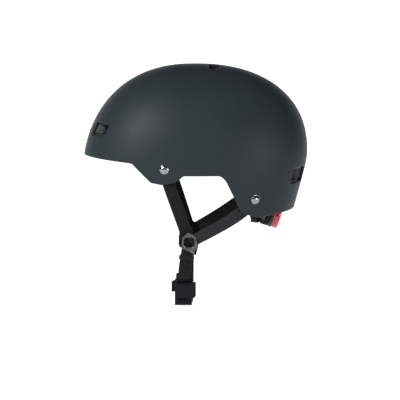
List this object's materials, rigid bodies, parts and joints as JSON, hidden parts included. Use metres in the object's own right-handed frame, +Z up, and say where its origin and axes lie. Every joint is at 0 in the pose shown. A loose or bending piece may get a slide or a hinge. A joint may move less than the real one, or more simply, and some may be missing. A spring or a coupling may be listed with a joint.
{
  "type": "hard-shell sports helmet",
  "caption": "Round hard-shell sports helmet with brow edge, ear cut-outs, vents, foam liner, dial fit band, Y-straps and a magnetic chin buckle.",
  "frame": {"origin": "middle of the wearer's head at the height of the brow edge, on the mount head_seat", "axes": "-X is the front, -Y is the wearer's left, +Z is up"},
  "size_m": [0.2674, 0.2106, 0.2883],
  "materials": {
    "shell_plastic": "matt charcoal moulded shell with a faint satin sheen",
    "liner_foam": "black expanded foam with a fine bead texture",
    "rivet_chrome": "polished domed heads",
    "washer_steel": "plain stamped steel",
    "pad_fabric": "black brushed knit over soft foam",
    "webbing": "black ribbed nylon webbing",
    "keeper_rubber": "black moulded rubber",
    "magnet_steel": "nickel-plated disc",
    "dial_red": "clear glossy red",
    "pinion_nylon": "natural nylon",
    "buckle_plastic": "black moulded plastic, lightly satin",
    "band_plastic": "black flexible plastic"
  },
  "bodies": {
    "root": {"shell": "shell_plastic", "foam_liner": "liner_foam", "strap_rivets": "rivet_chrome", "rivet_washers": "washer_steel", "brow_pad": "pad_fabric", "crown_pad": "pad_fabric", "left_side_pad": "pad_fabric", "right_side_pad": "pad_fabric", "left_temple_plug": "band_plastic", "right_temple_plug": "band_plastic", "left_temple_band": "band_plastic", "right_temple_band": "band_plastic", "cradle_hanger": "band_plastic", "nape_cradle": "band_plastic", "cradle_pad": "pad_fabric", "dial_housing": "band_plastic", "dial_cover": "band_plastic", "left_front_strap_tab": "webbing", "left_rear_strap_tab": "webbing", "right_front_strap_tab": "webbing", "right_rear_strap_tab": "webbing"},
    "dial": {"dial_pinion": "pinion_nylon", "dial_knob": "band_plastic", "dial_cap": "dial_red"},
    "left_arm": {"left_rack_arm": "band_plastic"},
    "right_arm": {"right_rack_arm": "band_plastic"},
    "left_harness": {"left_front_strap": "webbing", "left_rear_strap": "webbing", "left_divider": "band_plastic", "left_chin_strap": "webbing", "strap_keeper": "keeper_rubber", "outer_buckle_half": "buckle_plastic", "outer_buckle_magnet": "magnet_steel"},
    "right_harness": {"right_front_strap": "webbing", "right_rear_strap": "webbing", "right_divider": "band_plastic", "right_chin_strap": "webbing"},
    "left_flap": {"left_divider_flap": "buckle_plastic"},
    "right_flap": {"right_divider_flap": "buckle_plastic"},
    "inner_buckle": {"inner_buckle_half": "buckle_plastic", "inner_buckle_magnet": "magnet_steel", "inner_buckle_loop": "webbing"}
  },
  "joints": [
    {"name": "left_harness_swing", "type": "hinge", "parent": "root", "child": "left_harness", "pos_m": [0.012, -0.09272, -0.046], "axis": [-0.9279, -0.1185, 0.3535], "range_deg": [0, 60]},
    {"name": "right_harness_swing", "type": "hinge", "parent": "root", "child": "right_harness", "pos_m": [0.012, 0.09272, -0.046], "axis": [0.9279, -0.1185, -0.3535], "range_deg": [0, 60]},
    {"name": "left_flap_hinge", "type": "hinge", "parent": "left_harness", "child": "left_flap", "pos_m": [-0.009, -0.0657, -0.10755], "axis": [0.8556, 0.2105, -0.4729], "range_deg": [0, 70]},
    {"name": "right_flap_hinge", "type": "hinge", "parent": "right_harness", "child": "right_flap", "pos_m": [-0.009, 0.0657, -0.10755], "axis": [-0.8556, 0.2105, 0.4729], "range_deg": [0, 70]},
    {"name": "buckle_release", "type": "slide", "parent": "right_harness", "child": "inner_buckle", "axis": [-1, 0, 0], "range_m": [0, 0.012]},
    {"name": "dial_turn", "type": "hinge", "parent": "root", "child": "dial", "pos_m": [0.10202, 0, -0.0743], "axis": [0.9511, 0, -0.309], "range_deg": [0, 114]},
    {"name": "left_arm_slide", "type": "slide", "parent": "root", "child": "left_arm", "axis": [0, 1, 0], "range_m": [0, 0.012], "deforming": ["left_temple_band"]},
    {"name": "right_arm_slide", "type": "slide", "parent": "root", "child": "right_arm", "axis": [0, -1, 0], "range_m": [0, 0.012], "deforming": ["right_temple_band"]}
  ],
  "couplings": [
    {"joint": "left_arm_slide", "follows": "dial_turn", "m_per_rad": 0.006},
    {"joint": "right_arm_slide", "follows": "dial_turn", "m_per_rad": 0.006}
  ]
}
